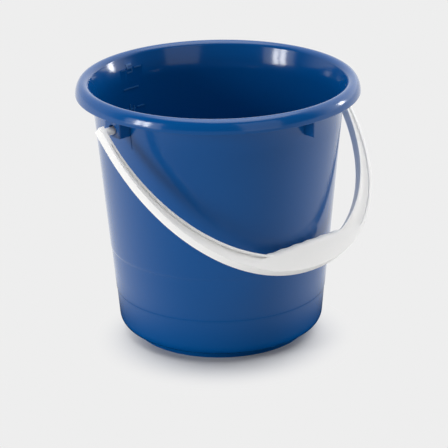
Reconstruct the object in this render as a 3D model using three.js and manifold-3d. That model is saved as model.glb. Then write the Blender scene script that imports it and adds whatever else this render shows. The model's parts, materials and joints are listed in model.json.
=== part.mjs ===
// Five litre bucket with a swinging carrying handle. Millimetres, +Z up.
// The origin is on the bucket's axis at the plane it stands on. The handle's pivot axis
// runs along X, and the handle hangs towards -Y with its grip resting on the wall.
import * as THREE from 'three';
import { mergeVertices } from 'three/addons/utils/BufferGeometryUtils.js';
import Module from 'manifold-3d';

const wasm = await Module();
wasm.setup();

// ---------- driving sizes ----------
const TURNS = 96;                     // facets round the bucket

// overall
const rimRadius = 114;
const bucketHeight = 213.2;

// rim: a hollow bead open below
const rimHeight = 10.9;               // from the skirt's edge up to the crown
const rimSkirtReach = 6.1;            // from the crown out to the skirt
const rimCrownOut = 7.1;              // from the wall out to the crown
const rimInnerRound = 5.2;
const rimThickness = 1.8;
const rimSkirtZ = bucketHeight - rimHeight;
const rimCrownRadius = rimRadius - rimSkirtReach;

// wall
const wallThickness = 1.5;
const wallTaper = 16.9;               // radius lost from the rim to the foot
const wallFootZ = 13.7;
const stepHeights = [37.9, 74.6];     // the wall grows a little above each of these
const stepOut = 0.35;
const wallTopRadius = rimCrownRadius - rimCrownOut;    // outside, where the wall meets the rim
const wallFootRadius = wallTopRadius - wallTaper;      // outside, just above the bottom corner

// floor and foot ring
const cornerRadius = 10;
const floorThickness = 1.8;
const footHeight = 6;
const footWidth = 3;
const footSetback = 13.6;             // foot ring's outside, in from the foot of the wall
const footRadius = wallFootRadius - footSetback;

// handle pivot
const pivotDrop = 8.3;                // pivot axis below the rim's skirt
const pinRadius = 3.2;
const holeClearance = 1;              // radial, so the moulded pin turns freely
const pinRestGap = 0.3;               // the pin hangs this far off the bottom of its hole
const pinTipGap = 4;                  // from the pin's tip to the wall behind the ear
const pinChamfer = 0.8;
const pivotZ = rimSkirtZ - pivotDrop;

// pivot ears on +X and -X, plain ribs on +Y and -Y
const earSetback = 4;                 // outer face of the ear plate, in from the rim
const earWidth = 17.4;
const earPlate = 2;
const earSide = 1.8;
const earBelowPin = 1.8;
const ribThickness = 1.5;
const earFace = rimRadius - earSetback;
const earBottomZ = pivotZ - pinRadius - earBelowPin;
const fittingReach = rimRadius + 4;   // beyond anything that is trimmed to the rim

// handle, drawn flat in its own plane: u across, v from the pivot down to the grip
const handleThickness = 7.6;
const handleBevel = 1;
const armSetOut = 4.2;                // arm's inner edge at the pivot, outside the rim
const armWidth = 4.6;
const armEndAbovePin = 0.7;           // squared end of the arm above the pin
const gripSetOut = 20.3;              // finger edge of the grip, outside the rim when it swings over
const gripDepth = 24;                 // from the finger edge to the outer edge
const gripRunOut = 10.2;              // inner sweep's lowest point beyond the finger edge
const gripRollRadius = 6.5;           // rounded finger edge, flush with the front face
const gripRestGap = 0.4;              // the resting grip's clearance to the wall
const handleEndV = -pinRadius - armEndAbovePin;
const gripEdgeV = rimRadius + gripSetOut;
const innerStart = 7;                 // each sweep starts this far below the pivot
const outerStart = 11;
const innerArc = {
  a: rimRadius + armSetOut, b: gripEdgeV + gripRunOut - innerStart, power: 2.03, v0: innerStart,
};
const outerArc = {
  a: innerArc.a + armWidth, b: gripEdgeV + gripDepth - outerStart, power: 2.12, v0: outerStart,
};

// channel in the front face of each arm, and finger ripples
const recessDepth = 2;
const recessInnerFlange = 1.7;
const recessTopWidth = 0.7;           // channel at the pivot, widening down the arm
const recessOuterFlange = armWidth - recessInnerFlange - recessTopWidth;
const recessTopV = 12;
const rippleCount = 6;
const ripplePitch = 14.5;
const rippleDepth = 0.5;

// litre marks raised on the inside of the wall, on the +Y side
const markRaise = 0.4;
const markWidth = 5;                  // along the strokes' middles, like the height
const markHeight = 6.2;
const markStroke = 1.2;
const markDash = 6.5;
const markGap = 2;                    // between a numeral and the dashes beside it
const markHalfDash = 16;              // plain line at each half litre
const markOffset = -9.4;              // the column stands this far to the side of the rib
const markBelowCrown = 6;             // clear height above the highest mark
const litreMl = 1e6;

// ---------- helpers ----------
const rad = THREE.MathUtils.degToRad;
const stepsOf = (n, f) => Array.from({ length: n + 1 }, (_, i) => f(i / n));
const arc = (cx, cy, rx, ry, from, to, n) => stepsOf(n, (t) => {
  const a = rad(from + (to - from) * t);
  return new THREE.Vector2(cx + rx * Math.cos(a), cy + ry * Math.sin(a));
});

function solid(geometry) {
  const g = geometry.index ? geometry.toNonIndexed() : geometry.clone();
  g.deleteAttribute('normal');
  g.deleteAttribute('uv');
  const m = mergeVertices(g, 1e-4);
  return new wasm.Manifold(new wasm.Mesh({
    numProp: 3,
    vertProperties: Float32Array.from(m.attributes.position.array),
    triVerts: Uint32Array.from(m.index.array),
  }));
}

function geometryOf(manifold) {
  const mesh = manifold.getMesh();
  const g = new THREE.BufferGeometry();
  const n = mesh.numProp;
  const count = mesh.vertProperties.length / n;
  const position = new Float32Array(count * 3);
  for (let i = 0; i < count; i += 1) {
    for (let k = 0; k < 3; k += 1) position[3 * i + k] = mesh.vertProperties[n * i + k];
  }
  g.setAttribute('position', new THREE.BufferAttribute(position, 3));
  g.setIndex(Array.from(mesh.triVerts));
  g.computeVertexNormals();
  return g;
}

const box = (x, y, z) => new THREE.BoxGeometry(x, y, z);
const place = (geometry, matrix) => solid(geometry.clone().applyMatrix4(matrix));
const shift = (x, y, z) => new THREE.Matrix4().makeTranslation(x, y, z);
const sum = (list) => list.reduce((a, b) => a.add(b));

function lathe(points) {
  const g = new THREE.LatheGeometry(points, TURNS);
  g.rotateX(Math.PI / 2);
  return solid(g);
}

// ---------- bucket body ----------
const wallLean = wallTaper / (rimSkirtZ - wallFootZ);
const stepsBelow = (z) => stepHeights.filter((h) => h > z).length;
const wallOutside = (z) => wallFootRadius + wallLean * (z - wallFootZ);
const wallInside = (z) => wallOutside(z) - wallThickness;

// The inside follows each step, so the wall keeps its thickness. At the skirt's level it flares
// into the crown's round.
const insideAbove = (low) => [
  ...stepHeights.filter((h) => h > low).flatMap((h) => [
    new THREE.Vector2(wallInside(h) - stepOut * (stepsBelow(h) + 1), h),
    new THREE.Vector2(wallInside(h + 0.4) - stepOut * stepsBelow(h), h + 0.4),
  ]),
  new THREE.Vector2(wallInside(rimSkirtZ), rimSkirtZ),
  ...arc(rimCrownRadius, bucketHeight - rimInnerRound, rimInnerRound, rimInnerRound, 170, 90, 6)
    .slice(0, 1),
];

function bodyProfile() {
  const crownLow = bucketHeight - rimInnerRound;
  const floorTop = footHeight + floorThickness;
  const cornerZ = footHeight + cornerRadius;
  const cornerX = wallOutside(cornerZ) - cornerRadius - stepOut * stepHeights.length;
  const innerCorner = cornerRadius - wallThickness;
  const inner = rimInnerRound - rimThickness;
  const outsideWall = stepHeights.slice().reverse().flatMap((h) => {
    const i = stepsBelow(h + 0.01);
    return [
      new THREE.Vector2(wallOutside(h + 0.4) - stepOut * i, h + 0.4),
      new THREE.Vector2(wallOutside(h) - stepOut * (i + 1), h),
    ];
  });
  return [
    new THREE.Vector2(0, floorTop),
    ...arc(cornerX, floorTop + innerCorner, innerCorner, innerCorner, -90, -5, 4),
    ...insideAbove(0),
    ...arc(rimCrownRadius, crownLow, rimInnerRound, rimInnerRound, 170, 90, 6).slice(1),
    ...arc(rimCrownRadius, rimSkirtZ, rimSkirtReach, rimHeight, 75, 0, 5),
    ...arc(rimCrownRadius, rimSkirtZ, rimSkirtReach - rimThickness, rimHeight - rimThickness,
      0, 75, 4),
    ...arc(rimCrownRadius, crownLow, inner, inner, 90, 170, 4),
    new THREE.Vector2(wallOutside(rimSkirtZ), rimSkirtZ - 1.5),
    ...outsideWall,
    ...arc(cornerX, cornerZ, cornerRadius, cornerRadius, -5, -90, 5),
    new THREE.Vector2(footRadius, footHeight),
    new THREE.Vector2(footRadius, 0),
    new THREE.Vector2(footRadius - footWidth, 0),
    new THREE.Vector2(footRadius - footWidth, footHeight),
    new THREE.Vector2(0, footHeight),
  ];
}

// Everything under the rim that stands out from the wall reaches up into the bead,
// so it is trimmed to the space between the wall's inside and the rim's outside.
function underRim() {
  const z0 = earBottomZ;
  const half = rimThickness / 2;
  return lathe([
    new THREE.Vector2(wallInside(z0) + wallThickness / 2, z0),
    new THREE.Vector2(fittingReach, z0),
    new THREE.Vector2(fittingReach, rimSkirtZ + 1),
    ...arc(rimCrownRadius, rimSkirtZ, rimSkirtReach - half, rimHeight - half, 0, 90, 6).slice(1),
    new THREE.Vector2(rimCrownRadius - rimInnerRound + half, bucketHeight - rimInnerRound),
    new THREE.Vector2(wallInside(rimSkirtZ) + wallThickness / 2, rimSkirtZ),
    new THREE.Vector2(wallInside(z0) + wallThickness / 2, z0),
  ]);
}

function ear(side) {
  const height = bucketHeight - earBottomZ;
  const z = earBottomZ + height / 2;
  const reach = earFace - wallInside(earBottomZ);
  const plate = place(box(earPlate, earWidth, height), shift(side * (earFace - earPlate / 2), 0, z));
  const sides = [-1, 1].map((s) => place(
    box(reach, earSide, height),
    shift(side * (earFace - reach / 2), s * (earWidth - earSide) / 2, z),
  ));
  const hole = new THREE.CylinderGeometry(pinRadius + holeClearance, pinRadius + holeClearance,
    earPlate * 4, 32);
  hole.rotateZ(Math.PI / 2);
  const holeZ = pivotZ + holeClearance - pinRestGap;
  return sum([plate, ...sides]).subtract(place(hole, shift(side * earFace, 0, holeZ)));
}

function rib(side) {
  const height = bucketHeight - earBottomZ;
  const reach = earFace - wallInside(earBottomZ);
  return place(box(ribThickness, reach, height),
    shift(0, side * (earFace - reach / 2), earBottomZ + height / 2));
}

// ---------- litre marks ----------
// Fill height for a volume, in the cone above the flat floor.
function levelOf(litres) {
  const z0 = footHeight + floorThickness;
  const r0 = wallInside(z0);
  const need = litres * litreMl * 3 * wallLean / Math.PI + r0 ** 3;
  return z0 + (Math.cbrt(need) - r0) / wallLean;
}

// Each numeral is a few straight strokes on a grid one wide and one high.
const numerals = {
  1: [[[0.5, 0], [0.5, 1]], [[0.5, 1], [0.1, 0.8]]],
  2: [[[0, 1], [1, 1]], [[1, 1], [1, 0.5]], [[1, 0.5], [0, 0.5]], [[0, 0.5], [0, 0]], [[0, 0], [1, 0]]],
  3: [[[0, 1], [1, 1]], [[1, 1], [1, 0]], [[0.2, 0.5], [1, 0.5]], [[1, 0], [0, 0]]],
  4: [[[0, 1], [0, 0.4]], [[0, 0.4], [1, 0.4]], [[0.8, 0.7], [0.8, 0]]],
  5: [[[1, 1], [0, 1]], [[0, 1], [0, 0.55]], [[0, 0.55], [1, 0.55]], [[1, 0.55], [1, 0]],
    [[1, 0], [0, 0]]],
};

// The strokes of one mark, in millimetres about its level: a numeral between two dashes on
// a whole litre, and one plain line on a half.
function strokesAt(litres) {
  if (!numerals[litres]) return [[[-markHalfDash / 2, 0], [markHalfDash / 2, 0]]];
  const near = markWidth / 2 + markStroke + markGap;
  const dashes = [-1, 1].map((s) => [[s * near, 0], [s * (near + markDash), 0]]);
  const digit = numerals[litres].map((ends) => ends.map(([x, z]) => [
    (x - 0.5) * markWidth, (z - 0.5) * markHeight,
  ]));
  return [...digit, ...dashes];
}

function marks() {
  const depth = 4;
  const top = bucketHeight - markBelowCrown - markHeight / 2;
  const shown = [1, 1.5, 2, 2.5, 3, 3.5, 4, 4.5, 5].filter((litres) => levelOf(litres) < top);
  const bars = shown.flatMap((litres) => strokesAt(litres).map(([[ax, az], [bx, bz]]) => {
    const z0 = levelOf(litres);
    const length = Math.hypot(bx - ax, bz - az) + markStroke;
    const turn = Math.atan2(bz - az, bx - ax);
    const m = shift(markOffset + (ax + bx) / 2, wallInside(z0), z0 + (az + bz) / 2)
      .multiply(new THREE.Matrix4().makeRotationY(-turn));
    return place(box(length, depth, markStroke), m);
  }));
  const low = levelOf(shown[0]) - markHeight;
  const lowInside = wallInside(low) - stepOut * stepsBelow(low);
  const inside = [new THREE.Vector2(lowInside, low), ...insideAbove(low)];
  const aside = (by) => inside.map((p) => new THREE.Vector2(p.x + by, p.y));
  const skin = lathe([
    new THREE.Vector2(lowInside - markRaise, low),
    ...aside(wallThickness / 2),
    ...aside(-markRaise).reverse(),
  ]);
  return sum(bars).intersect(skin);
}

function bucketBody() {
  const under = sum([ear(-1), ear(1), rib(-1), rib(1)]).intersect(underRim());
  return sum([lathe(bodyProfile().reverse()), under, marks()]);
}

// ---------- handle ----------
// One side of an arc with a flattened, superelliptic sweep; t is 0 at the pivot end.
function sweep({ a, b, power, v0 }, t) {
  const angle = t * Math.PI / 2;
  const bend = 2 / power;
  return new THREE.Vector2(a * Math.cos(angle) ** bend, v0 + b * Math.sin(angle) ** bend);
}

function arcHalf(curve, n, until = Infinity) {
  return stepsOf(n, (t) => sweep(curve, t ** 1.15)).filter((p) => p.y < until);
}

function inset(curve, amount) {
  return { ...curve, a: curve.a + amount, b: curve.b + amount };
}

const mirrorBack = (points) => points.slice().reverse().map((p) => new THREE.Vector2(-p.x, p.y));

function handleOutline() {
  const outer = arcHalf(outerArc, 22).slice(0, -1);
  const inner = arcHalf(innerArc, 22, gripEdgeV + gripRollRadius);
  const points = [
    new THREE.Vector2(outerArc.a, handleEndV),
    ...outer,
    new THREE.Vector2(0, outerArc.v0 + outerArc.b),
    ...mirrorBack(outer),
    new THREE.Vector2(-outerArc.a, handleEndV),
    new THREE.Vector2(-innerArc.a, handleEndV),
    ...mirrorBack(inner.slice().reverse()),
    ...inner.slice().reverse(),
    new THREE.Vector2(innerArc.a, handleEndV),
  ];
  return new THREE.Shape(points);
}

function recess(side) {
  const outer = inset(outerArc, -recessOuterFlange);
  const inner = inset(innerArc, recessInnerFlange);
  const stop = gripEdgeV + gripRollRadius - 1;
  const keep = (p) => p.y >= recessTopV;
  const out = arcHalf(outer, 22, stop).filter(keep);
  const inn = arcHalf(inner, 22, stop).filter(keep);
  const points = [
    new THREE.Vector2(outer.a, recessTopV),
    ...out,
    ...inn.reverse(),
    new THREE.Vector2(inner.a, recessTopV),
  ].map((p) => new THREE.Vector2(side * p.x, p.y));
  const g = new THREE.ExtrudeGeometry(new THREE.Shape(points), {
    depth: recessDepth * 2,
    bevelEnabled: false,
  });
  return place(g, shift(0, 0, handleThickness / 2 - recessDepth));
}

// Half length of the finger edge, where it runs out into the arms' inner edge.
function gripHalf() {
  const { a, b, power, v0 } = innerArc;
  const x = (gripEdgeV + gripRollRadius / 2 - v0) / b;
  return a * (1 - x ** power) ** (1 / power);
}

function fingerRoll() {
  const half = gripHalf();
  const span = ripplePitch * rippleCount;
  const path = new THREE.CatmullRomCurve3(stepsOf(36, (t) => {
    const u = -half - 4 + (2 * half + 8) * t;
    const wave = Math.abs(u) < span / 2 ? Math.sin(Math.PI * u / ripplePitch) ** 2 : 0;
    return new THREE.Vector3(u, gripEdgeV + gripRollRadius + rippleDepth * (1 - wave), 0);
  }));
  const ring = new THREE.Shape(arc(0, 0, gripRollRadius, gripRollRadius, 0, 360, 20).slice(0, -1));
  const g = new THREE.ExtrudeGeometry(ring, { steps: 48, extrudePath: path, bevelEnabled: false });
  return place(g, shift(0, 0, handleThickness / 2 - gripRollRadius));
}

function pin(side) {
  const tip = wallOutside(pivotZ) + pinTipGap;
  const root = innerArc.a + 1.5;
  const g = new THREE.LatheGeometry([
    new THREE.Vector2(0, tip),
    new THREE.Vector2(pinRadius - pinChamfer, tip),
    new THREE.Vector2(pinRadius, tip + pinChamfer),
    new THREE.Vector2(pinRadius, root),
    new THREE.Vector2(0, root),
  ], 32);
  g.rotateZ(-side * Math.PI / 2);
  return solid(g);
}

function handleFlat() {
  const plate = new THREE.ExtrudeGeometry(handleOutline(), {
    depth: handleThickness - 2 * handleBevel,
    bevelEnabled: true,
    bevelThickness: handleBevel,
    bevelSize: handleBevel,
    bevelOffset: -handleBevel,
    bevelSegments: 2,
  });
  const body = place(plate, shift(0, 0, handleBevel - handleThickness / 2));
  const arms = body.subtract(recess(-1)).subtract(recess(1));
  return sum([arms, fingerRoll(), pin(-1), pin(1)]);
}

// Angle from straight down at which the finger edge meets the wall.
function restAngle() {
  const v = gripEdgeV + gripRollRadius;
  const w = handleThickness / 2 - gripRollRadius;
  const lean = Math.atan(wallLean);
  const reach = wallOutside(pivotZ) + (gripRollRadius + gripRestGap) / Math.cos(lean);
  const along = v - wallLean * w;
  const across = w + wallLean * v;
  return Math.asin(reach / Math.hypot(along, across)) - Math.atan2(across, along);
}

// Handle plane to bucket frame: v points out and down, the front face points out and up.
function hang() {
  const angle = restAngle();
  const u = new THREE.Vector3(-1, 0, 0);
  const v = new THREE.Vector3(0, -Math.sin(angle), -Math.cos(angle));
  const w = new THREE.Vector3(0, -Math.cos(angle), Math.sin(angle));
  return new THREE.Matrix4().makeBasis(u, v, w).setPosition(0, 0, pivotZ);
}

// ---------- assembly ----------
function mesh(name, manifold, color, roughness) {
  const material = new THREE.MeshStandardMaterial({ color, roughness, metalness: 0, name });
  const m = new THREE.Mesh(geometryOf(manifold), material);
  m.name = name;
  return m;
}

const bucket = new THREE.Group();
bucket.name = 'bucket';
bucket.add(mesh('bucket_body', bucketBody(), 0x0f3a78, 0.22));
const handle = handleFlat();
const swung = solid(geometryOf(handle).applyMatrix4(hang()));
bucket.add(mesh('bail_handle', swung, 0xe9e6df, 0.35));

export default bucket;
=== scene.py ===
# %% [markdown]
# # A five litre bucket with a swinging handle
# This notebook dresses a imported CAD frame, which gives the places and the joint. The text before
# each step says what it makes on the real bucket, how else it could be made, and why it's done so.

# %% Load the frame
import json
import math
import bpy
from mathutils import Matrix, Vector


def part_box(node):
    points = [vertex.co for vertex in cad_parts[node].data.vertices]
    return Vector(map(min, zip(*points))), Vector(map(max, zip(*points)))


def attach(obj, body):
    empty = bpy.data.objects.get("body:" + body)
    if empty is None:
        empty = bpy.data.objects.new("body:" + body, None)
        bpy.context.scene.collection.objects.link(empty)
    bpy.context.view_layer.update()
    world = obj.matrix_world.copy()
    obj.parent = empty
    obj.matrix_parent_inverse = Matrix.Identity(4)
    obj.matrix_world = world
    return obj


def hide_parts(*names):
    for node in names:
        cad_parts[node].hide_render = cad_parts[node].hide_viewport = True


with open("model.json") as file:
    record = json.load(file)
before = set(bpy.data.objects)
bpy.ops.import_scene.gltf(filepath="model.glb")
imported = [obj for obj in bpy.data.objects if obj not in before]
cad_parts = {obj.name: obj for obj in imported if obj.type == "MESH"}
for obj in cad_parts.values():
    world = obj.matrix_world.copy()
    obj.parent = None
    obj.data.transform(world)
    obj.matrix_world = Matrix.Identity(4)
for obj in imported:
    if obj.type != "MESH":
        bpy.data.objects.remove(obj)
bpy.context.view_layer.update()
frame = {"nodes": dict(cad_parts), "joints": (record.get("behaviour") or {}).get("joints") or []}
body_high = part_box("bucket_body")[1]

# %% [markdown]
# ## Sizes
# The bucket is two injection mouldings. The rim's radius, the height and the pivot come from the
# frame, and the other lengths repeat the CAD part's in millimetres. The edge rounds, the shape of
# the steps, the overlaps of joined solids and the point counts are only here. `MM` turns
# millimetres into metres.

# %% Sizes of the bucket
MM = 0.001
TURNS = 192
RIM_R = round(body_high[0] / MM, 2)
RIM_TOP = round(body_high[2] / MM, 2)
RIM_HEIGHT, RIM_SKIRT_REACH, RIM_CROWN_OUT = 10.9, 6.1, 7.1
RIM_ROUND, RIM_WALL = 5.2, 1.8
RIM_SKIRT = round(RIM_TOP - RIM_HEIGHT, 2)
RIM_CROWN_R = round(RIM_R - RIM_SKIRT_REACH, 2)
WALL, WALL_TAPER, WALL_FOOT_Z = 1.5, 16.9, 13.7
WALL_TOP_R = round(RIM_CROWN_R - RIM_CROWN_OUT, 2)
WALL_FOOT_R = round(WALL_TOP_R - WALL_TAPER, 2)
LEAN = (WALL_TOP_R - WALL_FOOT_R) / (RIM_SKIRT - WALL_FOOT_Z)
STEPS_Z, STEP_OUT = (37.9, 74.6), 0.35
# Each point of a step: its height above the step, and how much of the step is taken there.
STEP_SHAPE = ((3.0, 0.0), (1.0, 0.0), (0.5, 0.15), (0.0, 0.85), (-0.5, 1.0), (-2.5, 1.0))
CORNER_R, FLOOR = 10.0, 1.8
FOOT_H, FOOT_W, FOOT_SETBACK = 6.0, 3.0, 13.6
FOOT_R = round(WALL_FOOT_R - FOOT_SETBACK, 2)
FOOT_FILLET, FOOT_EDGE = 0.8, 0.6
EAR_SETBACK, EAR_BELOW_PIN = 4, 1.8
EAR_FACE = RIM_R - EAR_SETBACK
EAR_WIDTH, EAR_PLATE, EAR_SIDE = 17.4, 2.0, 1.8
RIB_THICK = 1.5
print("rim radius", RIM_R, "height", RIM_TOP, "wall lean", round(math.degrees(math.atan(LEAN)), 2))

# %% Sizes of the handle
PIVOT_Z = frame["joints"][0]["pos_m"][2] / MM
PIN_R, PIN_CLEAR, PIN_REST = 3.2, 1.0, 0.3
PIN_TIP_GAP, PIN_EDGE, PIN_ROOT = 4, 0.7, 1.5
HOLE_R = round(PIN_R + PIN_CLEAR, 2)
EAR_LOW = PIVOT_Z - PIN_R - EAR_BELOW_PIN
THICK, ARM_WIDTH, ARM_SET_OUT, ARM_END = 7.6, 4.6, 4.2, 0.7
END_V = -round(PIN_R + ARM_END, 2)
GRIP_SET_OUT, GRIP_DEPTH, GRIP_RUN_OUT, ROLL_R = 20.3, 24, 10.2, 6.5
GRIP_V = round(RIM_R + GRIP_SET_OUT, 2)
INNER = {"a": round(RIM_R + ARM_SET_OUT, 2), "power": 2.03, "v0": 7.0}
INNER["b"] = round(GRIP_V + GRIP_RUN_OUT - INNER["v0"], 2)
OUTER = {"a": round(INNER["a"] + ARM_WIDTH, 2), "power": 2.12, "v0": 11.0}
OUTER["b"] = round(GRIP_V + GRIP_DEPTH - OUTER["v0"], 2)
RECESS, RECESS_TOP, RECESS_TOP_WIDTH, INNER_FLANGE = 2.0, 12.0, 0.7, 1.7
OUTER_FLANGE = round(ARM_WIDTH - INNER_FLANGE - RECESS_TOP_WIDTH, 2)
RIPPLE_PITCH, RIPPLES, RIPPLE_DEPTH = 14.5, 6, 0.5
REST_GAP = 0.4
ARM_POINTS, CHANNEL_POINTS, BEAD_STEPS = 90, 70, 120
BEAD_OVERRUN, CUT_PAST = 4, 4
print("pivot height", PIVOT_Z, "inner sweep", INNER, "outer sweep", OUTER)


# %% [markdown]
# ## Drawing tools
# Both mouldings start as a line of points. A plane is merged to one vertex, and that vertex is
# extruded from point to point, as by hand. Arcs and sweeps give the points by formula, which
# keeps round stretches truly round.

# %% Points on arcs and sweeps
def arc(cx, cy, rx, ry, start, end, count):
    steps = [math.radians(start + (end - start) * i / count) for i in range(count + 1)]
    return [(cx + rx * math.cos(t), cy + ry * math.sin(t)) for t in steps]


# Above one, this crowds a sweep's points towards the pivot, where the arm is narrow.
SWEEP_CROWDING = 1.15


def sweep(curve, count, until=math.inf):
    points = []
    for i in range(count + 1):
        t = (i / count) ** SWEEP_CROWDING * math.pi / 2
        x = curve["a"] * max(math.cos(t), 0) ** (2 / curve["power"])
        y = curve["v0"] + curve["b"] * math.sin(t) ** (2 / curve["power"])
        if y < until:
            points.append((x, y))
    return points


def moved(curve, amount):
    return {**curve, "a": curve["a"] + amount, "b": curve["b"] + amount}


# %% Edit-mode helpers
def only(obj):
    bpy.ops.object.select_all(action="DESELECT")
    obj.select_set(True)
    bpy.context.view_layer.objects.active = obj


def draw_line(name, points, closed=False):
    """One vertex, extruded through points in metres."""
    bpy.ops.object.select_all(action="DESELECT")
    bpy.ops.mesh.primitive_plane_add(size=0.01, location=(0, 0, 0))
    obj = bpy.context.object
    obj.name = obj.data.name = name
    bpy.ops.object.mode_set(mode="EDIT")
    bpy.ops.mesh.select_all(action="SELECT")
    bpy.ops.mesh.merge(type="CENTER")
    here = Vector(points[0])
    bpy.ops.transform.translate(value=here)
    for point in list(points[1:]) + ([points[0]] if closed else []):
        step = Vector(point) - here
        bpy.ops.mesh.extrude_vertices_move(TRANSFORM_OT_translate={"value": step})
        here = Vector(point)
    bpy.ops.mesh.select_all(action="SELECT")
    bpy.ops.mesh.remove_doubles(threshold=1e-7)
    bpy.ops.object.mode_set(mode="OBJECT")
    return obj


def turned(name, profile):
    """A profile of (radius, height) in millimetres, spun round the bucket's axis.

    It starts and ends on the axis, or ends where it starts.
    """
    obj = draw_line(name, [(r * MM, 0, z * MM) for r, z in profile])
    bpy.ops.object.mode_set(mode="EDIT")
    bpy.ops.mesh.select_all(action="SELECT")
    bpy.ops.mesh.spin(steps=TURNS, angle=2 * math.pi, center=(0, 0, 0), axis=(0, 0, 1))
    bpy.ops.mesh.select_all(action="SELECT")
    bpy.ops.mesh.remove_doubles(threshold=1e-6)
    bpy.ops.mesh.normals_make_consistent(inside=False)
    bpy.ops.object.mode_set(mode="OBJECT")
    return obj


def slab(name, outline, low, high):
    """A closed outline of (u, v), filled and given a thickness from low to high."""
    obj = draw_line(name, [(u * MM, -v * MM, low * MM) for u, v in outline], closed=True)
    bpy.ops.object.mode_set(mode="EDIT")
    bpy.ops.mesh.select_all(action="SELECT")
    bpy.ops.mesh.edge_face_add()
    bpy.ops.mesh.extrude_region_move(
        TRANSFORM_OT_translate={"value": (0, 0, (high - low) * MM)})
    bpy.ops.mesh.select_all(action="SELECT")
    bpy.ops.mesh.normals_make_consistent(inside=False)
    bpy.ops.object.mode_set(mode="OBJECT")
    return obj


def block(name, size, centre):
    bpy.ops.object.select_all(action="DESELECT")
    bpy.ops.mesh.primitive_cube_add(size=1, location=[c * MM for c in centre])
    obj = bpy.context.object
    obj.name = obj.data.name = name
    obj.scale = [s * MM for s in size]
    bpy.ops.object.transform_apply(location=True, rotation=True, scale=True)
    return obj


def rod(name, radius, length, centre):
    """A round bar along X."""
    bpy.ops.object.select_all(action="DESELECT")
    bpy.ops.mesh.primitive_cylinder_add(
        vertices=48, radius=radius * MM, depth=length * MM,
        location=[c * MM for c in centre], rotation=(0, math.pi / 2, 0))
    obj = bpy.context.object
    obj.name = obj.data.name = name
    bpy.ops.object.transform_apply(location=True, rotation=True, scale=True)
    return obj


def soften(obj, width, segments, angle):
    only(obj)
    bevel = obj.modifiers.new("soft_edges", "BEVEL")
    bevel.width = width * MM
    bevel.segments = segments
    bevel.limit_method = "ANGLE"
    bevel.angle_limit = math.radians(angle)
    bevel.use_clamp_overlap = True
    bevel.harden_normals = False
    bpy.ops.object.modifier_apply(modifier=bevel.name)


def combine(target, tool, operation):
    only(target)
    cut = target.modifiers.new("combine", "BOOLEAN")
    cut.operation = operation
    cut.solver = "EXACT"
    cut.object = tool
    bpy.ops.object.modifier_apply(modifier=cut.name)
    bpy.data.objects.remove(tool, do_unlink=True)


def smooth(obj, angle):
    only(obj)
    bpy.ops.object.shade_smooth_by_angle(angle=math.radians(angle))


# %% [markdown]
# ## Bucket shell
# The body is one thin polypropylene moulding: a leaning wall with two faint steps, a rolled rim
# that is hollow from below, a rounded bottom corner and a foot ring. It could be modelled from a
# cylinder with loop cuts, but a profile spun round the axis keeps the wall's thickness exact.

# %% The shell's profile
def wall_outside(z):
    return WALL_FOOT_R + LEAN * (z - WALL_FOOT_Z)


def wall_inside(z):
    return wall_outside(z) - WALL


def step_points(wall, low=0.0):
    """The wall's points round each step above `low`, from the top down."""
    return [(wall(z + above) - STEP_OUT * (count + taken), z + above)
            for count, z in enumerate(reversed(STEPS_Z)) if z > low
            for above, taken in STEP_SHAPE]


# The inside follows each step too, so the wall keeps its thickness. At the skirt's level it
# flares into the crown's round.
WALL_TO_CROWN = [
    (wall_inside(RIM_SKIRT), RIM_SKIRT),
    arc(RIM_CROWN_R, RIM_TOP - RIM_ROUND, RIM_ROUND, RIM_ROUND, 170, 90, 1)[0],
]


def shell_profile():
    crown_low = RIM_TOP - RIM_ROUND
    floor_top = FOOT_H + FLOOR
    corner_z = FOOT_H + CORNER_R
    corner_x = wall_outside(corner_z) - CORNER_R - STEP_OUT * len(STEPS_Z)
    inner = CORNER_R - WALL
    rim_h, rim_out = RIM_TOP - RIM_SKIRT, RIM_R - RIM_CROWN_R
    under = RIM_ROUND - RIM_WALL
    edge = RIM_WALL / 2
    # The lone heights only add support points on straight stretches.
    return (
        [(0, floor_top), (corner_x * 0.5, floor_top)]
        + arc(corner_x, floor_top + inner, inner, inner, -90, -5, 12)
        + step_points(wall_inside)[::-1]
        + [(wall_inside(z), z) for z in (120, 160, 190)]
        + WALL_TO_CROWN
        + arc(RIM_CROWN_R, crown_low, RIM_ROUND, RIM_ROUND, 170, 90, 14)[1:]
        + arc(RIM_CROWN_R, RIM_SKIRT, rim_out, rim_h, 85, 6, 20)
        + arc(RIM_R - edge, RIM_SKIRT + edge * 0.6, edge, edge * 0.6, 0, -180, 8)
        + arc(RIM_CROWN_R, RIM_SKIRT, rim_out - RIM_WALL, rim_h - RIM_WALL, 8, 85, 10)
        + arc(RIM_CROWN_R, crown_low, under, under, 90, 170, 8)
        + [(wall_outside(RIM_SKIRT), RIM_SKIRT - 1.5)]
        + [(wall_outside(z), z) for z in (180, 150, 120, 95)]
        + step_points(wall_outside)
        + arc(corner_x, corner_z, CORNER_R, CORNER_R, -5, -90, 14)
        + arc(FOOT_R + FOOT_FILLET, FOOT_H - FOOT_FILLET, FOOT_FILLET, FOOT_FILLET, 90, 180, 4)
        + arc(FOOT_R - FOOT_EDGE, FOOT_EDGE, FOOT_EDGE, FOOT_EDGE, 0, -90, 4)
        + arc(FOOT_R - FOOT_W + FOOT_EDGE, FOOT_EDGE, FOOT_EDGE, FOOT_EDGE, -90, -180, 4)
        + [(FOOT_R - FOOT_W, FOOT_H), (FOOT_R * 0.5, FOOT_H), (0, FOOT_H)]
    )


shell = turned("bucket_shell", shell_profile())
print("shell faces", len(shell.data.polygons))

# %% [markdown]
# ## Ears and ribs
# Under the rim, two hollow ears carry the handle's pins, and two plain ribs stand a quarter turn
# away. Each ear is a plate on two side walls, open below, with a hole for the pin. They could be
# extruded from the wall's faces, but blocks trimmed to the room under the rim by an intersection
# follow the wall and the bead exactly.

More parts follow.
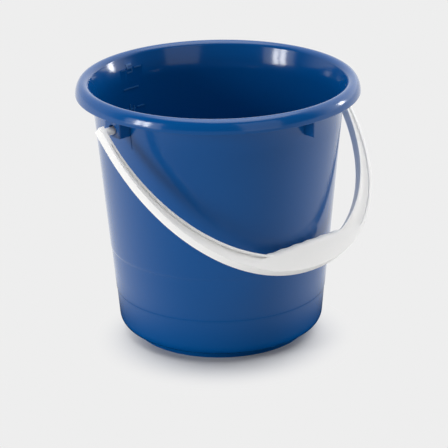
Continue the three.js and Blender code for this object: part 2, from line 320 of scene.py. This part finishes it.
# %% Make the ears and ribs
def under_rim():
    top = RIM_TOP - RIM_WALL / 2
    rim_out = RIM_R - RIM_CROWN_R - RIM_WALL / 2
    beyond = EAR_FACE + 8
    return turned("under_rim", [
        (wall_inside(EAR_LOW) + WALL / 2, EAR_LOW),
        (beyond, EAR_LOW),
        (beyond, RIM_SKIRT + 1),
        *arc(RIM_CROWN_R, RIM_SKIRT, rim_out, top - RIM_SKIRT, 10, 90, 10),
        (RIM_CROWN_R - RIM_ROUND + RIM_WALL / 2, RIM_TOP - RIM_ROUND),
        (wall_inside(RIM_SKIRT) + WALL / 2, RIM_SKIRT),
        (wall_inside(EAR_LOW) + WALL / 2, EAR_LOW),
    ])


def ear(side):
    high = RIM_TOP - EAR_LOW
    mid = EAR_LOW + high / 2
    reach = EAR_FACE - wall_inside(EAR_LOW)
    plate = block("ear", (EAR_PLATE, EAR_WIDTH, high), (side * (EAR_FACE - EAR_PLATE / 2), 0, mid))
    for s in (-1, 1):
        wall = block("ear_side", (reach, EAR_SIDE, high),
                     (side * (EAR_FACE - reach / 2), s * (EAR_WIDTH - EAR_SIDE) / 2, mid))
        combine(plate, wall, "UNION")
    hole_z = PIVOT_Z + (HOLE_R - PIN_R) - PIN_REST
    combine(plate, rod("hole", HOLE_R, EAR_PLATE * 4, (side * EAR_FACE, 0, hole_z)), "DIFFERENCE")
    return plate


def rib(side):
    high = RIM_TOP - EAR_LOW
    reach = EAR_FACE - wall_inside(EAR_LOW)
    return block("rib", (RIB_THICK, reach, high),
                 (0, side * (EAR_FACE - reach / 2), EAR_LOW + high / 2))


fittings = ear(-1)
for extra in (ear(1), rib(-1), rib(1)):
    combine(fittings, extra, "UNION")
combine(fittings, under_rim(), "INTERSECT")
soften(fittings, width=0.35, segments=2, angle=50)
combine(shell, fittings, "UNION")

# %% [markdown]
# ## Litre marks
# Inside, beside the rear rib, each litre has a raised numeral between two dashes and each half
# litre a plain line. Text objects could make them, but small blocks keep every stroke as wide as
# the mould cutter, and a skin 0.4 mm proud of the wall trims them all to one height.

# %% Make the litre marks
MARK_RAISE, MARK_W, MARK_H, MARK_STROKE = 0.4, 5.0, 6.2, 1.2
MARK_DASH, MARK_GAP, MARK_HALF, MARK_X, MARK_DEPTH = 6.5, 2.0, 16.0, -9.4, 4
LITRE = 1e6
LEVELS = [halves / 2 for halves in range(2, 11)]
# Each numeral is a few straight strokes between points of a grid one wide and one high.
DIGITS = {
    1: [((0.5, 0), (0.5, 1)), ((0.5, 1), (0.1, 0.8))],
    2: [((0, 1), (1, 1)), ((1, 1), (1, 0.5)), ((1, 0.5), (0, 0.5)), ((0, 0.5), (0, 0)),
        ((0, 0), (1, 0))],
    3: [((0, 1), (1, 1)), ((1, 1), (1, 0)), ((0.2, 0.5), (1, 0.5)), ((1, 0), (0, 0))],
    4: [((0, 1), (0, 0.4)), ((0, 0.4), (1, 0.4)), ((0.8, 0.7), (0.8, 0))],
    5: [((1, 1), (0, 1)), ((0, 1), (0, 0.55)), ((0, 0.55), (1, 0.55)), ((1, 0.55), (1, 0)),
        ((1, 0), (0, 0))],
}


def level_of(litres):
    """Fill height for a volume, in the cone above the flat floor."""
    z0 = FOOT_H + FLOOR
    r0 = wall_inside(z0)
    return z0 + (math.cbrt(litres * 3 * LITRE * LEAN / math.pi + r0 ** 3) - r0) / LEAN


def strokes_at(litres):
    if litres not in DIGITS:
        return [((-MARK_HALF / 2, 0), (MARK_HALF / 2, 0))]
    near = MARK_W / 2 + MARK_STROKE + MARK_GAP
    found = [((s * near, 0), (s * (near + MARK_DASH), 0)) for s in (-1, 1)]
    for ends in DIGITS[litres]:
        found.append([((x - 0.5) * MARK_W, (z - 0.5) * MARK_H) for x, z in ends])
    return found


def stroke_bar(level, start, end):
    (ax, az), (bx, bz) = start, end
    length = math.hypot(bx - ax, bz - az) + MARK_STROKE
    bar = block("stroke", (length, MARK_DEPTH, MARK_STROKE), (0, 0, 0))
    bar.rotation_euler.y = -math.atan2(bz - az, bx - ax)
    bar.location = [c * MM for c in (MARK_X + (ax + bx) / 2, wall_inside(level),
                                     level + (az + bz) / 2)]
    bpy.ops.object.transform_apply(location=True, rotation=True, scale=True)
    return bar


bars = [stroke_bar(level_of(litres), start, end)
        for litres in LEVELS
        for start, end in strokes_at(litres)]
marks = bars[0]
for bar in bars[1:]:
    combine(marks, bar, "UNION")
low_mark = level_of(LEVELS[0]) - MARK_H
# Below the upper step, the wall is one step further in.
low_r = wall_inside(low_mark) - STEP_OUT
inside = [(low_r, low_mark), *step_points(wall_inside, low_mark)[::-1], *WALL_TO_CROWN]
combine(marks, turned("mark_skin", [
    (low_r - MARK_RAISE, low_mark),
    *[(r + WALL / 2, z) for r, z in inside],
    *[(r - MARK_RAISE, z) for r, z in reversed(inside)],
]), "INTERSECT")
# Two empty slots, filled later: the first for the gloss wall, the second for the matt marks, whose
# blue is painted lighter as a painted highlight.
for part in (shell, marks):
    part.data.materials.append(None)
    part.data.materials.append(None)
for face in marks.data.polygons:
    face.material_index = 1
combine(shell, marks, "UNION")
print("litre marks", len(bars), "strokes, top mark at", round(level_of(5), 1), "mm")

# %% [markdown]
# Beside each ear the mould's side core leaves a fine witness line down the wall. A dark stripe
# could stand for it, but a shallow groove catches the light as the real one does. A thin block,
# tilted to the wall's lean, cuts it.

# %% Cut the witness lines and finish the bucket body
LINE_SIZE = (1.6, 0.7, 12)
LINE_BELOW, LINE_ASIDE = 5, 0.5
for side in (-1, 1):
    mid = EAR_LOW - LINE_BELOW
    line = block("witness_line", LINE_SIZE, (0, 0, 0))
    line.rotation_euler.y = side * math.atan(LEAN)
    line.location = (side * wall_outside(mid) * MM, (-EAR_WIDTH / 2 - LINE_ASIDE) * MM, mid * MM)
    bpy.ops.object.transform_apply(location=True, rotation=True, scale=True)
    combine(shell, line, "DIFFERENCE")
smooth(shell, 28)
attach(shell, "bucket")
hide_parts("bucket_body")
print("bucket body faces", len(shell.data.polygons))


# %% [markdown]
# ## Handle
# The handle is one white moulding: two curved arms with a channel in the front face, a broad
# leaf-shaped grip with a rippled finger edge, and a pin on each end. It could be a curve with a
# bevel profile, but its width changes all the way. It is drawn flat, where its outline is simple,
# and turned into place at the end.

# %% Draw and thicken the arms
def outline():
    outer = sweep(OUTER, ARM_POINTS)
    inner = sweep(INNER, ARM_POINTS, GRIP_V + ROLL_R)
    half = [(OUTER["a"], END_V)] + outer[:-1]
    far = [(-x, y) for x, y in reversed(half)]
    near = [(-INNER["a"], END_V)] + [(-x, y) for x, y in inner]
    back = list(reversed(inner)) + [(INNER["a"], END_V)]
    return half + [(0, OUTER["v0"] + OUTER["b"])] + far + near + back


def channel(side):
    stop = GRIP_V + ROLL_R - 1
    outer, inner = moved(OUTER, -OUTER_FLANGE), moved(INNER, INNER_FLANGE)
    run = [p for p in sweep(outer, CHANNEL_POINTS, stop) if p[1] > RECESS_TOP]
    back = [p for p in sweep(inner, CHANNEL_POINTS, stop) if p[1] > RECESS_TOP]
    points = [(outer["a"], RECESS_TOP)] + run + back[::-1] + [(inner["a"], RECESS_TOP)]
    face = THICK / 2
    return slab("channel", [(side * x, y) for x, y in points], face - RECESS, face + CUT_PAST)


handle = slab("handle", outline(), -THICK / 2, THICK / 2)
for side in (-1, 1):
    combine(handle, channel(side), "DIFFERENCE")
print("handle plate faces", len(handle.data.polygons))

# %% [markdown]
# The finger edge is a round bead along the grip with six shallow ripples. A wave modifier could
# ripple it, but extruding a circle section by section along the line keeps the bead round.

# %% Add the finger edge
def grip_half():
    x = (GRIP_V + ROLL_R / 2 - INNER["v0"]) / INNER["b"]
    return INNER["a"] * (1 - x ** INNER["power"]) ** (1 / INNER["power"])


def bead():
    half = grip_half() + BEAD_OVERRUN
    span = RIPPLE_PITCH * RIPPLES
    stations = []
    for i in range(BEAD_STEPS + 1):
        u = -half + 2 * half * i / BEAD_STEPS
        inside = abs(u) < span / 2
        wave = math.sin(math.pi * u / RIPPLE_PITCH) ** 2 if inside else 0
        stations.append((u, GRIP_V + ROLL_R + RIPPLE_DEPTH * (1 - wave)))
    bpy.ops.object.select_all(action="DESELECT")
    first = stations[0]
    bpy.ops.mesh.primitive_circle_add(
        vertices=40, radius=ROLL_R * MM, fill_type="NGON",
        location=(first[0] * MM, -first[1] * MM, (THICK / 2 - ROLL_R) * MM),
        rotation=(0, math.pi / 2, 0))
    obj = bpy.context.object
    obj.name = "bead"
    bpy.ops.object.transform_apply(location=True, rotation=True, scale=True)
    bpy.ops.object.mode_set(mode="EDIT")
    bpy.ops.mesh.select_all(action="SELECT")
    for before, after in zip(stations, stations[1:]):
        step = ((after[0] - before[0]) * MM, -(after[1] - before[1]) * MM, 0)
        bpy.ops.mesh.extrude_region_move(TRANSFORM_OT_translate={"value": step})
    bpy.ops.mesh.select_all(action="SELECT")
    bpy.ops.mesh.normals_make_consistent(inside=False)
    bpy.ops.object.mode_set(mode="OBJECT")
    return obj


combine(handle, bead(), "UNION")
soften(handle, width=0.9, segments=4, angle=40)
print("handle with finger edge", len(handle.data.polygons))

# %% [markdown]
# Each pin points inwards from the arm's squared end, through the ear's hole, and stops short of
# the wall. Its tip is rounded so that it can be sprung into the ear. It is a plain rod, joined to
# the arm while the handle still lies flat.

# %% Add the pins and hang the handle
def rest_angle():
    v, w = GRIP_V + ROLL_R, THICK / 2 - ROLL_R
    reach = wall_outside(PIVOT_Z) + (ROLL_R + REST_GAP) / math.cos(math.atan(LEAN))
    along, across = v - LEAN * w, w + LEAN * v
    return math.asin(reach / math.hypot(along, across)) - math.atan2(across, along)


tip, root = wall_outside(PIVOT_Z) + PIN_TIP_GAP, INNER["a"] + PIN_ROOT
for side in (-1, 1):
    pin = rod("pin", PIN_R, root - tip, (side * (root + tip) / 2, 0, 0))
    soften(pin, width=PIN_EDGE, segments=2, angle=60)
    combine(handle, pin, "UNION")
only(handle)
handle.rotation_euler.x = math.pi / 2 - rest_angle()
handle.location.z = PIVOT_Z * MM
bpy.ops.object.transform_apply(location=True, rotation=True, scale=True)
smooth(handle, 35)
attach(handle, "handle")
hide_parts("bail_handle")
print("rest angle", round(math.degrees(rest_angle()), 2), "faces", len(handle.data.polygons))


# %% [markdown]
# ## Finishes
# Moulded plastic is never quite flat: it carries a fine orange-peel ripple and, with handling,
# hair scratches that dull its gloss. Image textures could carry both, but noise needs no
# unwrapping. Both are shader groups, built once and placed in each material with its own values.

# %% Shader helpers
def new_group(name, inputs, outputs):
    group = bpy.data.node_groups.new(name, "ShaderNodeTree")
    for label, kind, value in inputs:
        socket = group.interface.new_socket(label, in_out="INPUT", socket_type=kind)
        socket.default_value = value
    for label, kind in outputs:
        group.interface.new_socket(label, in_out="OUTPUT", socket_type=kind)
    return group, group.nodes.new("NodeGroupInput"), group.nodes.new("NodeGroupOutput")


def add(tree, kind, values=None, **settings):
    node = tree.nodes.new(kind)
    for key, value in settings.items():
        setattr(node, key, value)
    for key, value in (values or {}).items():
        node.inputs[key].default_value = value
    return node


# %% Orange peel
peel, gin, gout = new_group(
    "orange_peel",
    [("Vector", "NodeSocketVector", (0, 0, 0)), ("Size", "NodeSocketFloat", 400.0)],
    [("Height", "NodeSocketFloat")])
broad = add(peel, "ShaderNodeTexNoise", {"Detail": 2.0, "Roughness": 0.5})
peel.links.new(gin.outputs["Vector"], broad.inputs["Vector"])
peel.links.new(gin.outputs["Size"], broad.inputs["Scale"])
peel.links.new(broad.outputs["Fac"], gout.inputs["Height"])

# %% Hair scratches
scuff, gin, gout = new_group(
    "hair_scratches",
    [("Vector", "NodeSocketVector", (0, 0, 0)), ("Size", "NodeSocketFloat", 60.0),
     ("Amount", "NodeSocketFloat", 0.5)],
    [("Mask", "NodeSocketFloat")])
stretch = add(scuff, "ShaderNodeMapping", {"Scale": (1.0, 1.0, 14.0)})
threads = add(scuff, "ShaderNodeTexNoise", {"Detail": 6.0, "Roughness": 0.7, "Distortion": 0.6})
patches = add(scuff, "ShaderNodeTexNoise", {"Scale": 22.0, "Detail": 2.0})
fine = add(scuff, "ShaderNodeMapRange", {"From Min": 0.55, "From Max": 0.75})
where = add(scuff, "ShaderNodeMapRange", {"From Min": 0.45, "From Max": 0.7})
both = add(scuff, "ShaderNodeMath", operation="MULTIPLY")
scaled = add(scuff, "ShaderNodeMath", operation="MULTIPLY", use_clamp=True)
scuff.links.new(gin.outputs["Vector"], stretch.inputs["Vector"])
scuff.links.new(stretch.outputs["Vector"], threads.inputs["Vector"])
scuff.links.new(gin.outputs["Size"], threads.inputs["Scale"])
scuff.links.new(gin.outputs["Vector"], patches.inputs["Vector"])
scuff.links.new(threads.outputs["Fac"], fine.inputs["Value"])
scuff.links.new(patches.outputs["Fac"], where.inputs["Value"])
scuff.links.new(fine.outputs["Result"], both.inputs[0])
scuff.links.new(where.outputs["Result"], both.inputs[1])
scuff.links.new(both.outputs["Value"], scaled.inputs[0])
scuff.links.new(gin.outputs["Amount"], scaled.inputs[1])
scuff.links.new(scaled.outputs["Value"], gout.inputs["Mask"])


# %% A moulded plastic
def moulded(name, colour, worn, gloss, dull, peel_size, peel_height, scratch, specular, sss=0.0):
    """Scratches turn colour to worn and the roughness gloss to dull. Peel height is in mm."""
    mat = bpy.data.materials.new(name)
    mat.use_nodes = True
    tree = mat.node_tree
    shader = tree.nodes["Principled BSDF"]
    shader.inputs["Specular IOR Level"].default_value = specular
    shader.inputs["Subsurface Weight"].default_value = sss
    if sss:
        shader.inputs["Subsurface Radius"].default_value = (0.004, 0.004, 0.004)
        shader.inputs["Subsurface Scale"].default_value = 1.0
    where = add(tree, "ShaderNodeTexCoord")
    skin = add(tree, "ShaderNodeGroup", node_tree=peel)
    skin.inputs["Size"].default_value = peel_size
    hair = add(tree, "ShaderNodeGroup", node_tree=scuff)
    hair.inputs["Amount"].default_value = scratch
    shade = add(tree, "ShaderNodeMix", data_type="RGBA")
    shade.inputs["A"].default_value = (*colour, 1)
    shade.inputs["B"].default_value = (*worn, 1)
    rough = add(tree, "ShaderNodeMapRange", {"To Min": gloss, "To Max": dull})
    bump = add(tree, "ShaderNodeBump", {"Strength": 1.0, "Distance": peel_height * MM})
    tree.links.new(where.outputs["Object"], skin.inputs["Vector"])
    tree.links.new(where.outputs["Object"], hair.inputs["Vector"])
    tree.links.new(skin.outputs["Height"], bump.inputs["Height"])
    tree.links.new(bump.outputs["Normal"], shader.inputs["Normal"])
    tree.links.new(hair.outputs["Mask"], shade.inputs["Factor"])
    tree.links.new(shade.outputs["Result"], shader.inputs["Base Color"])
    tree.links.new(hair.outputs["Mask"], rough.inputs["Value"])
    tree.links.new(rough.outputs["Result"], shader.inputs["Roughness"])
    return mat


# %% [markdown]
# The body is a gloss dark blue and the handle a satin white that lets a little light through. The
# litre marks are spark-eroded in the mould, so they come out matt beside the gloss wall, and their
# blue is painted lighter than the wall's as a painted highlight. A second material slot on the body
# does that without cutting the marks off as another piece.

# %% Make the finishes
blue = moulded(
    "blue_polypropylene", (0.0006, 0.074, 0.27), (0.004, 0.09, 0.3), gloss=0.13, dull=0.26,
    peel_size=260.0, peel_height=0.014, scratch=0.4, specular=0.5)
white = moulded(
    "white_polypropylene", (0.9, 0.895, 0.88), (0.83, 0.82, 0.8), gloss=0.34, dull=0.5,
    peel_size=500.0, peel_height=0.03, scratch=0.4, specular=0.5, sss=0.15)
# The marks' blue is painted lighter than the wall's: a painted highlight, added to their real matt
# finish.
matt_blue_painted_highlight = moulded(
    "blue_polypropylene_matt_painted_highlight", (0.004, 0.1, 0.31), (0.01, 0.12, 0.33), gloss=0.5, dull=0.6,
    peel_size=900.0, peel_height=0.03, scratch=0.5, specular=0.6)
shell.data.materials[0], shell.data.materials[1] = blue, matt_blue_painted_highlight
handle.data.materials.clear()
handle.data.materials.append(white)
for name, finish in (("bucket_body", blue), ("bail_handle", white)):
    for used in frame["nodes"][name].material_slots:
        used.material = finish
print("materials", blue.name, white.name, matt_blue_painted_highlight.name)
print("matt faces", sum(1 for face in shell.data.polygons if face.material_index == 1))

# %% [markdown]
# ## Camera
# A long lens from the front left looks down at the bucket at about 20 degrees. A camera could
# track an empty, but fixed angles also hold its slight roll. Lengths here are in metres.

# %% Set the camera
TURN = math.radians(41.9)
DISTANCE, HEIGHT = 1.7569, 0.7501
PITCH, YAW, ROLL = 0.3603, 0.0019, -0.0141
LENS_MM, SENSOR_MM = 184.8214, 36
aim = Matrix.Rotation(-TURN, 3, "Z")
forward = aim @ Vector((math.sin(YAW) * math.cos(PITCH), math.cos(YAW) * math.cos(PITCH),
                        -math.sin(PITCH)))
level = aim @ Vector((math.cos(YAW), -math.sin(YAW), 0))
upward = level.cross(forward)
right = math.cos(ROLL) * level + math.sin(ROLL) * upward
up = -math.sin(ROLL) * level + math.cos(ROLL) * upward
lens = bpy.data.cameras.new("camera")
lens.lens, lens.sensor_width = LENS_MM, SENSOR_MM
camera = bpy.data.objects.new("camera", lens)
bpy.context.scene.collection.objects.link(camera)
axes = Matrix((right, up, -forward)).transposed().to_4x4()
camera.matrix_world = Matrix.Translation(aim @ Vector((0, -DISTANCE, HEIGHT))) @ axes
bpy.context.scene.camera = camera
print("camera at", [round(v, 3) for v in camera.matrix_world.translation])

# %% [markdown]
# ## Studio
# The bucket stands on a pale floor that darkens only close to the foot. One matt plane would
# carry the shadow across the whole floor, so the open floor glows with one even shade and turns
# matt only round the foot. Gloss doesn't see this floor. It sees a second disc, a painted shadow:
# black under the bucket and clear further out, as a shaded floor would look in it.

# %% Floor
scene = bpy.context.scene
scene.view_settings.view_transform = "Standard"
PALE = 0.855
FLOOR_RADIUS, PAINTED_SHADOW_RADIUS, PAINTED_SHADOW_Z = 6, 0.17, 0.0004


def disc(name, radius, centre):
    bpy.ops.object.select_all(action="DESELECT")
    bpy.ops.mesh.primitive_circle_add(vertices=96, radius=radius, fill_type="NGON", location=centre)
    obj = bpy.context.object
    obj.name = obj.data.name = name
    return obj


def floor_finish(name, centre, near, far, shade, far_shader):
    """A matt shade that turns into far_shader between two distances from a centre."""
    mat = bpy.data.materials.new(name)
    mat.use_nodes = True
    tree = mat.node_tree
    tree.nodes.clear()
    out = add(tree, "ShaderNodeOutputMaterial")
    close = add(tree, "ShaderNodeBsdfDiffuse", {"Color": (shade, shade, shade, 1)})
    open_floor = add(tree, far_shader)
    if far_shader == "ShaderNodeEmission":
        open_floor.inputs["Color"].default_value = (PALE, PALE, PALE, 1)
    mix = add(tree, "ShaderNodeMixShader")
    where = add(tree, "ShaderNodeTexCoord")
    away = add(tree, "ShaderNodeVectorMath", operation="DISTANCE")
    away.inputs[1].default_value = centre
    fade = add(tree, "ShaderNodeMapRange", {"From Min": near, "From Max": far},
               interpolation_type="SMOOTHSTEP")
    tree.links.new(where.outputs["Object"], away.inputs[0])
    tree.links.new(away.outputs["Value"], fade.inputs["Value"])
    tree.links.new(fade.outputs["Result"], mix.inputs["Fac"])
    tree.links.new(close.outputs[0], mix.inputs[1])
    tree.links.new(open_floor.outputs[0], mix.inputs[2])
    tree.links.new(mix.outputs["Shader"], out.inputs["Surface"])
    return mat


floor = disc("floor", FLOOR_RADIUS, (0, 0, 0))
floor.visible_glossy = False
shadow_centre = aim @ Vector((0.003, -0.025, 0))
floor.data.materials.append(floor_finish(
    "pale_floor", shadow_centre, near=0.055, far=0.108, shade=PALE,
    far_shader="ShaderNodeEmission"))
# A black disc seen only in the gloss: a painted shadow that shows the foot's shade on the floor in
# reflections.
painted_shadow_disc = disc("floor_painted_shadow", PAINTED_SHADOW_RADIUS, (0, 0, PAINTED_SHADOW_Z))
painted_shadow_disc.visible_camera = painted_shadow_disc.visible_diffuse = painted_shadow_disc.visible_shadow = False
painted_shadow_disc.data.materials.append(floor_finish(
    "floor_painted_shadow", (0, 0, 0), near=0.085, far=0.165, shade=0.0,
    far_shader="ShaderNodeBsdfTransparent"))
print("floor radius in metres", FLOOR_RADIUS, "shadow centre", [round(v, 3) for v in shadow_centre])

# %% [markdown]
# The surround is dark on the camera's side, bright behind the bucket and brightest overhead, like
# a studio tent. An environment image could light it, but a few ramps over the ray's direction are
# enough. `facing` and `across` are measured from the side that the camera stands on.

# %% Surround
world = bpy.data.worlds.new("surround")
scene.world = world
world.use_nodes = True
tree = world.node_tree
tree.nodes.clear()


def along(direction):
    """How far a ray points along a direction given from the camera: right, away, up."""
    node = add(tree, "ShaderNodeVectorMath", operation="DOT_PRODUCT")
    node.inputs[1].default_value = aim @ Vector(direction)
    tree.links.new(way.outputs["Generated"], node.inputs[0])
    return node.outputs["Value"]


def ramp(value, low, high, start, end, kind="SMOOTHSTEP"):
    """Goes from start to end while the value goes from low to high."""
    node = add(tree, "ShaderNodeMapRange", {"From Min": low, "From Max": high,
                                            "To Min": start, "To Max": end},
               interpolation_type=kind)
    tree.links.new(value, node.inputs["Value"])
    return node.outputs["Result"]


def joined(operation, first, second):
    node = add(tree, "ShaderNodeMath", operation=operation)
    tree.links.new(first, node.inputs[0])
    tree.links.new(second, node.inputs[1])
    return node.outputs["Value"]


def background(strength):
    node = add(tree, "ShaderNodeBackground")
    tree.links.new(strength, node.inputs["Strength"])
    return node.outputs["Background"]


def choose(factor, first, second):
    node = add(tree, "ShaderNodeMixShader")
    tree.links.new(factor, node.inputs["Fac"])
    tree.links.new(first, node.inputs[1])
    tree.links.new(second, node.inputs[2])
    return node.outputs["Shader"]


# %% Light the surround
way = add(tree, "ShaderNodeTexCoord")
facing, across = along((0, 1, 0)), along((1, 0, 0))
right_hand = ramp(across, -0.9, 0.9, 0.85, 1.9, "LINEAR")
sides = joined("MULTIPLY", ramp(facing, -0.2, 0.35, 0.04, 1.05), right_hand)
overhead = ramp(along((0.08, 0.08, 0.9936)), 0.76, 0.95, 0.0, 3.9)
upper = joined("MAXIMUM", sides, overhead)
lower = ramp(facing, -0.9, 0.4, 0.4, 1.25)
above = ramp(along((0, 0, 1)), -0.03, 0.03, 0.0, 1.0, "LINEAR")
room = choose(above, background(lower), background(upper))
seen = add(tree, "ShaderNodeBackground", {"Color": (PALE, PALE, PALE, 1), "Strength": 1.0})
path = add(tree, "ShaderNodeLightPath")
out = add(tree, "ShaderNodeOutputWorld")
tree.links.new(choose(path.outputs["Is Camera Ray"], room, seen.outputs["Background"]),
               out.inputs["Surface"])
print("surround nodes", len(tree.nodes))

# %% [markdown]
# Soft sources give the gloss its highlights: a window of two panes at the left on the camera's
# side, each with a narrow glare at its inner edge, a small lamp at the right, and a dim panel
# behind the camera's right shoulder. Area lamps are used because their edges show in the gloss.

# %% Light sources
LIT_HEIGHT = 0.15


def source(name, azimuth, low, high, half_width, radiance, diffuse=1.0, away=3.0):
    """A rectangle facing the bucket, in degrees; azimuth 0 is straight away from the camera."""
    turn, mid = math.radians(azimuth), math.radians((low + high) / 2)
    flat = Vector((math.sin(turn) * math.cos(mid), math.cos(turn) * math.cos(mid), math.sin(mid)))
    lamp = bpy.data.lights.new(name, "AREA")
    lamp.shape = "RECTANGLE"
    lamp.size = 2 * away * math.tan(math.radians(half_width))
    lamp.size_y = 2 * away * math.tan(math.radians((high - low) / 2))
    lamp.energy = radiance * math.pi * lamp.size * lamp.size_y
    lamp.diffuse_factor = diffuse
    obj = bpy.data.objects.new(name, lamp)
    bpy.context.scene.collection.objects.link(obj)
    way_out = aim @ flat
    obj.location = Vector((0, 0, LIT_HEIGHT)) + way_out * away
    obj.rotation_euler = way_out.to_track_quat("Z", "Y").to_euler()
    obj.visible_camera = False
    return obj


for name, pane, glare in (("window_left", -128.0, -122.7), ("window_right", -110.5, -115.4)):
    source(name + "_pane", pane, low=-4, high=26, half_width=7.0, radiance=1.5, diffuse=0.8)
    source(name + "_glare", glare, low=0, high=22, half_width=2.6, radiance=18.0, diffuse=0.2,
           away=2.9)
source("small_lamp", 66, low=5, high=16, half_width=3.2, radiance=22.0, diffuse=0.4)
source("dim_panel", 146, low=-4, high=43, half_width=16, radiance=0.65, diffuse=0.2)
